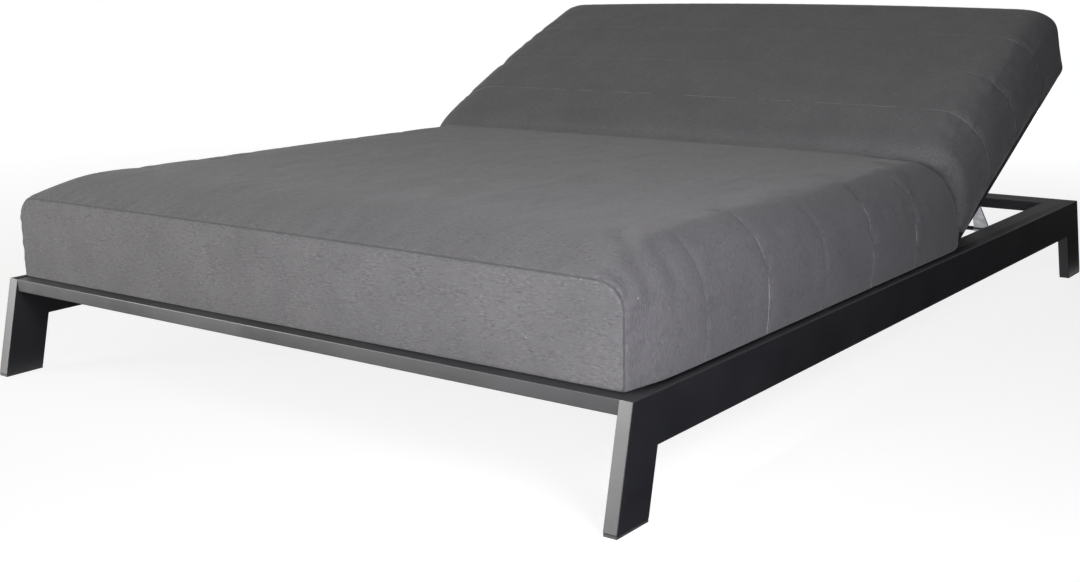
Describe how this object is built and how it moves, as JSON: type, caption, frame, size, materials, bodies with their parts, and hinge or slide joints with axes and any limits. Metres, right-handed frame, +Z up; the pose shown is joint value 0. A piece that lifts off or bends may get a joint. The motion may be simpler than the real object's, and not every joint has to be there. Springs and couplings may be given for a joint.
{
  "type": "double chaise lounger",
  "caption": "Wide low lounger for two: flat box-tube frame on splayed legs, thick mattress, raising backrest held by a stay and rack.",
  "frame": {"origin": "on the floor under the middle of the whole object", "axes": "+X to one long side, +Y from the feet end to the head end, +Z up"},
  "size_m": [1.5, 2.1003, 0.6681],
  "materials": {
    "charcoal_frame": "satin powder coat",
    "foot_plastic": "moulded",
    "steel_fittings": "plain",
    "cushion_fabric": "woven, heathered"
  },
  "bodies": {
    "base": {"centre_beam": "charcoal_frame", "centre_hinge_clevis": "charcoal_frame", "front_left_foot_glide": "foot_plastic", "front_left_leg": "charcoal_frame", "front_rail": "charcoal_frame", "front_right_foot_glide": "foot_plastic", "front_right_leg": "charcoal_frame", "hinge_pins": "steel_fittings", "hinge_rail": "charcoal_frame", "left_deck_ledge": "charcoal_frame", "left_hinge_clevis": "charcoal_frame", "left_rack_screws": "steel_fittings", "left_side_rail": "charcoal_frame", "left_stay_rack": "charcoal_frame", "mattress_fold": "cushion_fabric", "rear_left_foot_glide": "foot_plastic", "rear_left_leg": "charcoal_frame", "rear_rail": "charcoal_frame", "rear_right_foot_glide": "foot_plastic", "rear_right_leg": "charcoal_frame", "right_deck_ledge": "charcoal_frame", "right_hinge_clevis": "charcoal_frame", "right_rack_screws": "steel_fittings", "right_side_rail": "charcoal_frame", "right_stay_rack": "charcoal_frame", "seat_cushion": "cushion_fabric", "seat_slat_1": "charcoal_frame", "seat_slat_2": "charcoal_frame", "seat_slat_3": "charcoal_frame", "seat_slat_4": "charcoal_frame", "seat_slat_5": "charcoal_frame", "seat_slat_6": "charcoal_frame", "seat_slat_7": "charcoal_frame", "seat_slat_8": "charcoal_frame"},
    "backrest": {"backrest_bottom_rail": "charcoal_frame", "backrest_centre_stile": "charcoal_frame", "backrest_left_slat_1": "charcoal_frame", "backrest_left_slat_2": "charcoal_frame", "backrest_left_slat_3": "charcoal_frame", "backrest_left_stay_rail": "charcoal_frame", "backrest_left_stile": "charcoal_frame", "backrest_right_slat_1": "charcoal_frame", "backrest_right_slat_2": "charcoal_frame", "backrest_right_slat_3": "charcoal_frame", "backrest_right_stay_rail": "charcoal_frame", "backrest_right_stile": "charcoal_frame", "backrest_top_rail": "charcoal_frame", "centre_hinge_eye": "charcoal_frame", "left_hinge_eye": "charcoal_frame", "right_hinge_eye": "charcoal_frame", "left_stay_bracket": "charcoal_frame", "right_stay_bracket": "charcoal_frame", "stay_pivot_pins": "steel_fittings", "back_cushion": "cushion_fabric"},
    "stays": {"left_stay_arm": "steel_fittings", "right_stay_arm": "steel_fittings", "stay_rod": "charcoal_frame"}
  },
  "joints": [
    {"name": "backrest_tilt", "type": "hinge", "parent": "base", "child": "backrest", "pos_m": [0, 0.2935, 0.2013], "axis": [1, 0, 0], "range_deg": [-26.8, 13.2], "deforming": ["mattress_fold"]},
    {"name": "stay_fold", "type": "hinge", "parent": "backrest", "child": "stays", "pos_m": [0, 0.51666, 0.29162], "axis": [1, 0, 0], "range_deg": [-35.61, 72.25]}
  ],
  "couplings": [
    {"joint": "stay_fold", "follows": "backrest_tilt", "ratio": -2.6939}
  ]
}
